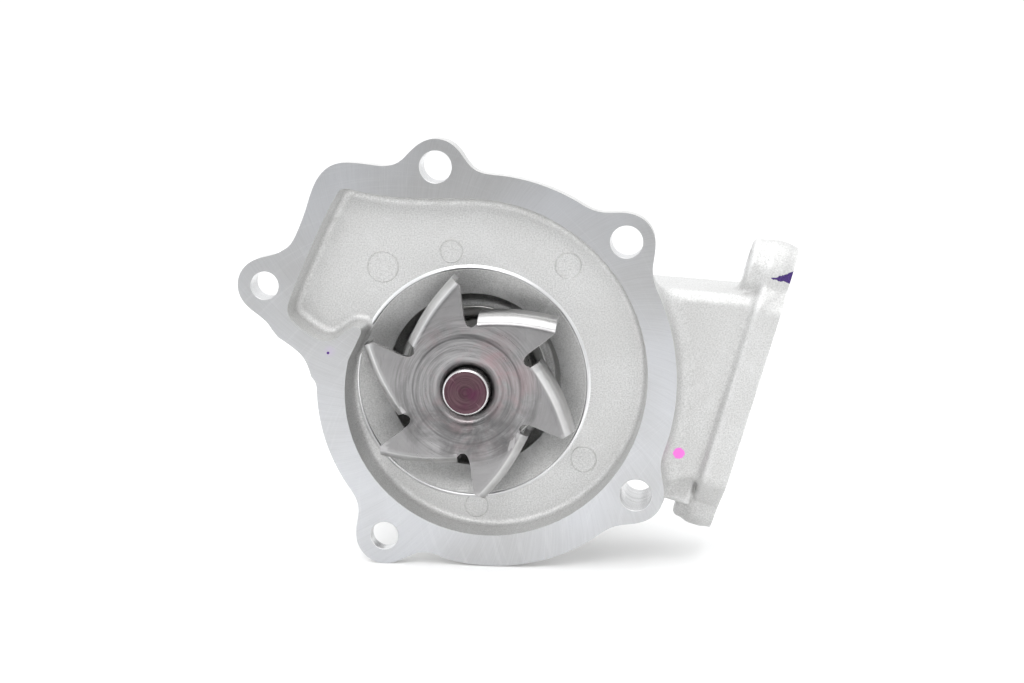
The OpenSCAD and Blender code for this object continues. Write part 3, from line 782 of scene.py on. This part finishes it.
def impeller(material):
    v, faces = impeller_mesh()
    me = bpy.data.meshes.new("impeller_sheet")
    me.from_pydata([tuple(p * MM) for p in v], [], faces)
    me.validate()
    ob = bpy.data.objects.new("impeller_sheet", me)
    bpy.context.scene.collection.objects.link(ob)
    me.polygons.foreach_set("use_smooth", [True] * len(me.polygons))
    m = ob.modifiers.new("thick", "SOLIDIFY")
    m.thickness, m.offset, m.use_even_offset = 0.00158, 0, False
    m = ob.modifiers.new("edge", "BEVEL")
    m.width, m.segments, m.limit_method, m.angle_limit = 0.00022, 2, "ANGLE", math.radians(50)
    m.harden_normals = True
    me2 = bpy.data.meshes.new_from_object(ob.evaluated_get(bpy.context.evaluated_depsgraph_get()))
    ob.modifiers.clear()
    ob.data = me2
    bpy.data.meshes.remove(me)
    ob.data.materials.append(material)
    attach(ob, "rotor")
    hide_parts("impeller")
    return ob


# ---------------------------------------------------------------- the pump
M_CAST, M_MILL, M_BORE = cast_aluminium(), milled(), bored()
M_SHEET = turned_metal("stamped_steel", (0.235, 0.231, 0.233), (0.375, 0.368, 0.371), (0.24, 0.36),
                       tint=((0.42, 0.25, 0.27), 0.008, 0.024, 0.5), ring_mm=0.5,
                       rings=((0.0143, 0.0004, 0.5), (0.0189, 0.0003, 0.3), (0.0118, 0.0002, 0.3)), spun=0.55, plain_out=(0.017, 0.0215, -0.0029, -0.0022))
M_INK = turned_metal("shaft_end", (0.075, 0.042, 0.05), (0.15, 0.09, 0.105), (0.34, 0.5),
                     tint=((0.12, 0.028, 0.075), 0.001, 0.007, 0.75), ring_mm=0.42)
M_GROUND = turned_metal("ground_steel", (0.56, 0.55, 0.55), (0.74, 0.73, 0.73), (0.16, 0.26), ring_mm=0.25)
M_CASE = turned_metal("seal_case_steel", (0.42, 0.415, 0.405), (0.60, 0.595, 0.585), (0.25, 0.38), ring_mm=0.6)
M_HUB = turned_metal("hub_steel", (0.16, 0.16, 0.165), (0.30, 0.30, 0.31), (0.34, 0.48), ring_mm=0.4, grime=0.4,
                     tint=((0.24, 0.19, 0.14), 0.010, 0.045, 0.4))
M_RUBBER = rubber()
M_CARBON = plain("carbon", (0.035, 0.035, 0.037), (0.07, 0.07, 0.073), (0.25, 0.4), 0.0, 1500, 0.15)
M_CERAMIC = plain("ceramic", (0.74, 0.72, 0.67), (0.86, 0.84, 0.80), (0.12, 0.22), 0.0, 1200, 0.08)
M_BALL = plain("ball_steel", (0.72, 0.72, 0.74), (0.86, 0.86, 0.88), (0.06, 0.14), 1.0, 900, 0.05)
M_CAGE = plain("cage_plastic", (0.30, 0.24, 0.13), (0.42, 0.35, 0.2), (0.42, 0.58), 0.0, 700, 0.3)
M_WIRE = plain("spring_steel", (0.48, 0.48, 0.50), (0.66, 0.66, 0.68), (0.2, 0.34), 1.0, 1600, 0.25)
M_PLUG = plain("plug_metal", (0.60, 0.47, 0.24), (0.80, 0.66, 0.38), (0.26, 0.4), 1.0, 1400, 0.25)

verts, quads = mesh_from_field(housing_field, (-64, -5, -53), (92, 70, 70), STEP)
housing = new_mesh("housing_casting", verts * MM, quads)
machine(housing)


def mark_machined(ob):
    me = ob.data
    n = len(me.polygons)
    c = np.zeros(n * 3)
    nn = np.zeros(n * 3)
    me.polygons.foreach_get("center", c)
    me.polygons.foreach_get("normal", nn)
    c, nn = c.reshape(-1, 3) * 1000, nn.reshape(-1, 3)
    slot = np.zeros(n, np.int32)
    out = c[:, 0] * CS - c[:, 2] * SN
    no = nn[:, 0] * CS - nn[:, 2] * SN
    slot[(c[:, 1] < 0.02) & (nn[:, 1] < -0.99)] = 1
    slot[(out > 72.97) & (no > 0.99)] = 1
    slot[(c[:, 1] > 64.98) & (nn[:, 1] > 0.99)] = 1
    for p, y1, rs in ((TOP, 8.7, 6.6), (LEFT, 8.7, 6.6), (UPPER, 7.7, 6.6), (LOWER, 23.6, 7.6)):
        q = np.hypot(c[:, 0] - p[0], c[:, 2] - p[1])
        slot[(q < rs + 0.01) & (np.abs(c[:, 1] - y1) < 0.03) & (nn[:, 1] > 0.95)] = 1
        slot[(q < 4.9) & (c[:, 1] < y1 + 0.1)] = np.where(slot[(q < 4.9) & (c[:, 1] < y1 + 0.1)] == 1, 1, 2)
    q = np.hypot(c[:, 0] - FOOT[0], c[:, 2] - FOOT[1])
    slot[(q < 4.3) & (c[:, 1] < 5.2) & (slot == 0)] = 2
    u = c[:, 0] * SN + c[:, 2] * CS
    for a, b in ((18, 50.5), (26, -15.5)):
        q = np.hypot(c[:, 1] - a, u - b)
        slot[(q < 4.8) & (out > 58.9)] = np.where(slot[(q < 4.8) & (out > 58.9)] == 1, 1, 2)
    r = np.hypot(c[:, 0], c[:, 2])
    slot[(r < 18.9) & (c[:, 1] > 16.2)] = 2
    me.polygons.foreach_set("material_index", slot)
    me.update()


co_all = np.zeros(len(housing.data.vertices) * 3)
housing.data.vertices.foreach_get("co", co_all)
co_all = np.clip(co_all.reshape(-1, 3), np.array(CAD_BOX[0]) + 1e-6, np.array(CAD_BOX[1]) - 1e-6)
housing.data.vertices.foreach_set("co", co_all.ravel())
housing.data.materials.clear()
for m in (M_CAST, M_MILL, M_BORE):
    housing.data.materials.append(m)
mark_machined(housing)
smooth(housing, 34)
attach(housing, "housing")
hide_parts("pump_housing")



def ejector_marks():
    """Fine raised rings left by the ejector pins on the volute floor."""
    bpy.context.view_layer.update()
    v, f = [], []
    steps = ((-0.30, -0.04), (-0.16, 0.08), (0.0, 0.24), (0.16, 0.08), (0.30, -0.04))
    for (px, pz), pr in PINS:
        base = len(v)
        n = 72
        good = []
        for k in range(n):
            a = 2 * math.pi * k / n
            fine = True
            for o, h in steps:
                q = Vector((px + (pr + o) * math.cos(a), -20, pz + (pr + o) * math.sin(a))) * MM
                hit, where, normal, face = housing.ray_cast(q, Vector((0, 1, 0)))
                fine = fine and hit and abs(where.y / MM - 8) < 0.45
                v.append((q.x, (where.y if hit else 0) - h * MM, q.z))
            good.append(fine)
        for k in range(n):
            if good[k] and good[(k + 1) % n]:
                for j in range(len(steps) - 1):
                    a, b = base + 5 * k + j, base + 5 * ((k + 1) % n) + j
                    f.append((a, b, b + 1, a + 1))
    me = bpy.data.meshes.new("ejector_marks")
    me.from_pydata(v, [], f)
    me.validate()
    ob = bpy.data.objects.new("ejector_marks", me)
    bpy.context.scene.collection.objects.link(ob)
    me.materials.append(M_CAST)
    me.polygons.foreach_set("use_smooth", [True] * len(me.polygons))
    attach(ob, "housing")


ejector_marks()
rim = turned("eye_rim", rounded([(30.25, 8.6), (30.72, 7.86), (31.1, 7.62), (32.2, 8.2)], 0.2), (0, 0, 0), (1, 0, 0), (0, 1, 0), seg=220)
rim.data.materials.append(M_BORE)
smooth(rim)
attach(rim, "housing")
impeller(M_SHEET)

shaft = turned("shaft_turned", rounded([(0, -6.5), (0.8, -6.5), (2, -6.5), (3.4, -6.5), (4.7, -6.5), (5.7, -6.5), (6.15, -6.05), (6.15, 29.6), (7.95, 29.6),
                                        (7.95, 78.2), (7.15, 79), (2.4, 79), (0.3, 76.8), (0, 76.8)], 0.22, False),
               (0, 0, 0), (1, 0, 0), (0, 1, 0), seg=144, closed=False)
shaft.data.materials.append(M_GROUND)
shaft.data.materials.append(M_INK)
for f in shaft.data.polygons:
    if f.center.y < -0.00645 and math.hypot(f.center.x, f.center.z) < 0.00565:
        f.material_index = 1
smooth(shaft)
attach(shaft, "rotor")
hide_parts("pump_shaft")

hub = turned("hub_turned", rounded([(7.95, 65.6), (13, 65.6), (13, 69), (16, 71), (34, 71), (34, 76), (10, 76), (10, 79), (7.95, 79)], 0.45),
             (0, 0, 0), (1, 0, 0), (0, 1, 0), seg=180)
for k in range(8):
    a = math.radians(45 * k)
    hr = 3.4 if k % 2 else 4.5
    prof = [(0, 68), (hr + 3.4, 68), (hr, 71.4), (hr, 75.6), (hr + 3.4, 79), (0, 79)]
    cut(hub, turned("hole", prof, (25 * math.cos(a), 0, 25 * math.sin(a)), (1, 0, 0), (0, 1, 0), seg=64, closed=False))
hub.data.materials.clear()
hub.data.materials.append(M_HUB)
smooth(hub, 32)
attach(hub, "rotor")
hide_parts("pulley_hub")

lathe("seal_case_drawn", [(16.8, 16), (19.6, 16), (19.6, 17), (18, 17), (18, 28), (9.2, 28), (9.2, 27), (16.8, 27)],
      "seal_case", "housing", M_CASE, 0.5)
lathe("mating_ring_lapped", [(7.4, 6.8), (13, 6.8), (13, 11), (7.4, 11)], "mating_ring", "rotor", M_CERAMIC, 0.3)
lathe("mating_ring_boot_moulded", [(6.15, 5.4), (14.2, 5.4), (14.2, 10.2), (13, 10.2), (13, 6.8), (7.4, 6.8), (7.4, 9.6), (6.15, 9.6)],
      "mating_ring_boot", "rotor", M_RUBBER, 0.35)
lathe("carbon_ring_lapped", [(7.4, 13), (8.6, 11.04), (10.8, 11.04), (10.8, 13), (12.4, 13), (12.4, 17), (7.4, 17)],
      "carbon_ring", "housing", M_CARBON, 0.2)
lathe("shaft_slinger_moulded", [(6.15, 28.4), (11.6, 28.4), (11.6, 29.4), (6.15, 29.4)], "shaft_slinger", "rotor", M_RUBBER, 0.3)
lathe("weep_plug_drawn", [(0, 29), (3.2, 29), (3.2, 31.6), (2.5, 31.6), (2.5, 29.7), (0, 29.7)], "weep_plug", "housing", M_PLUG,
      0.3, 56, False, (0, 0, 1), (0, 29.4, 0))

LOOKS = {"bearing_outer_ring": M_GROUND, "front_balls": M_BALL, "rear_balls": M_BALL, "front_ball_cage": M_CAGE,
         "rear_ball_cage": M_CAGE, "bearing_seal_front": M_RUBBER, "bearing_seal_rear": M_RUBBER, "seal_bellows": M_RUBBER,
         "seal_spring": M_WIRE, "seal_spring_seat": M_CASE, "seal_spring_retainer": M_CASE, "pump_housing": M_CAST,
         "impeller": M_SHEET, "pump_shaft": M_GROUND, "pulley_hub": M_HUB, "seal_case": M_CASE, "mating_ring": M_CERAMIC,
         "mating_ring_boot": M_RUBBER, "carbon_ring": M_CARBON, "shaft_slinger": M_RUBBER, "weep_plug": M_PLUG}
for name, material in LOOKS.items():
    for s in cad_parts[name].material_slots:
        s.material = material

# ---------------------------------------------------------------- floor, light and camera
floor_z = CAD_BOX[0][2]
bm = bmesh.new()
bmesh.ops.create_grid(bm, x_segments=24, y_segments=24, size=6)
floor_mesh = bpy.data.meshes.new("studio_floor")
bm.to_mesh(floor_mesh)
bm.free()
floor = bpy.data.objects.new("studio_floor", floor_mesh)
floor.location = (0, 5.5, floor_z - 0.00002)
bpy.context.scene.collection.objects.link(floor)
g = Graph("studio_floor")
weave = g.noise(35, detail=3)
g.p.inputs["Emission Color"].default_value = (1, 1, 1, 1)
g.p.inputs["Emission Strength"].default_value = 0.1
floor.data.materials.append(g.finish(g.mix(weave, (0.85, 0.85, 0.845), (0.88, 0.88, 0.88)), g.span(weave, 0.3, 0.7, 0.5, 0.62), 0.0,
                                     [(weave, 0.0002, 0.05)]))

world = bpy.data.worlds.new("studio")
bpy.context.scene.world = world
world.use_nodes = True
wt = world.node_tree
wt.nodes.clear()
wo = wt.nodes.new("ShaderNodeOutputWorld")
bg = wt.nodes.new("ShaderNodeBackground")
tc = wt.nodes.new("ShaderNodeTexCoord")


def direction(v, lo, hi):
    d = wt.nodes.new("ShaderNodeVectorMath")
    d.operation = "DOT_PRODUCT"
    wt.links.new(tc.outputs["Generated"], d.inputs[0])
    d.inputs[1].default_value = Vector(v).normalized()
    m = wt.nodes.new("ShaderNodeMapRange")
    m.interpolation_type = "SMOOTHSTEP"
    m.inputs[1].default_value, m.inputs[2].default_value = lo, hi
    wt.links.new(d.outputs["Value"], m.inputs[0])
    return m.outputs[0]


def wmath(op, a, b):
    n = wt.nodes.new("ShaderNodeMath")
    n.operation = op
    for i, v in enumerate((a, b)):
        if isinstance(v, float):
            n.inputs[i].default_value = v
        else:
            wt.links.new(v, n.inputs[i])
    return n.outputs[0]


# a white room, dimmer behind the camera, brighter overhead
front = direction((-0.1, -0.98, -0.2), 0.68, 0.95)
level = wmath("SUBTRACT", 1.02, wmath("MULTIPLY", front, 0.78))
level = wmath("ADD", level, wmath("MULTIPLY", direction((0.1, 0.35, 1), 0.5, 1.0), 0.3))
level = wmath("SUBTRACT", level, wmath("MULTIPLY", direction((1, 0.1, 0.15), 0.35, 1.0), 0.2))
wt.links.new(level, bg.inputs[1])
bg.inputs[0].default_value = (0.985, 0.992, 1.0, 1)
# seen directly the room is plain white
plain_bg = wt.nodes.new("ShaderNodeBackground")
plain_bg.inputs[0].default_value = (1, 1, 1, 1)
plain_bg.inputs[1].default_value = 1.05
seen = wt.nodes.new("ShaderNodeLightPath")
choose = wt.nodes.new("ShaderNodeMixShader")
wt.links.new(seen.outputs["Is Camera Ray"], choose.inputs[0])
wt.links.new(bg.outputs[0], choose.inputs[1])
wt.links.new(plain_bg.outputs[0], choose.inputs[2])
wt.links.new(choose.outputs[0], wo.inputs[0])


def softbox(name, place, aim, sx, sy, power, color=(1, 1, 1)):
    d = bpy.data.lights.new(name, "AREA")
    d.shape, d.size, d.size_y, d.energy, d.color = "RECTANGLE", sx, sy, power, color
    o = bpy.data.objects.new(name, d)
    o.location = place
    o.rotation_mode = "QUATERNION"
    o.rotation_quaternion = (Vector(aim) - Vector(place)).to_track_quat("-Z", "Y")
    o.visible_camera = False
    bpy.context.scene.collection.objects.link(o)
    return o


softbox("top_box", (0.08, 0.15, 0.75), (0.02, 0.02, 0.0), 0.9, 0.7, 2.2)
softbox("front_box", (-0.1, -0.75, 0.7), (0.0, 0.0, 0.0), 0.6, 0.5, 3.7)
softbox("left_box", (-0.75, -0.35, 0.25), (0, 0, 0), 0.5, 0.6, 0.5, (0.90, 0.95, 1.0))
softbox("right_box", (0.75, -0.25, 0.35), (0.05, 0, 0), 0.45, 0.6, 0.35)

cam = bpy.data.cameras.new("photo_camera")
cam.sensor_width, cam.lens = 36.0, 2100 / 1024 * 36
cam.clip_start, cam.clip_end = 0.02, 40
co = bpy.data.objects.new("photo_camera", cam)
F = Vector((-0.1080672, 0.97886046, -0.17364818))
R = Vector((0.99396096, 0.10973431, 0.0))
U = R.cross(F)
co.matrix_world = Matrix(((R.x, U.x, -F.x, 0.071272), (R.y, U.y, -F.y, -0.540861), (R.z, U.z, -F.z, 0.108673), (0, 0, 0, 1)))
bpy.context.scene.collection.objects.link(co)
bpy.context.scene.camera = co
vs = bpy.context.scene.view_settings
vs.view_transform, vs.look, vs.exposure, vs.gamma = "Standard", "None", 0.0, 1.0
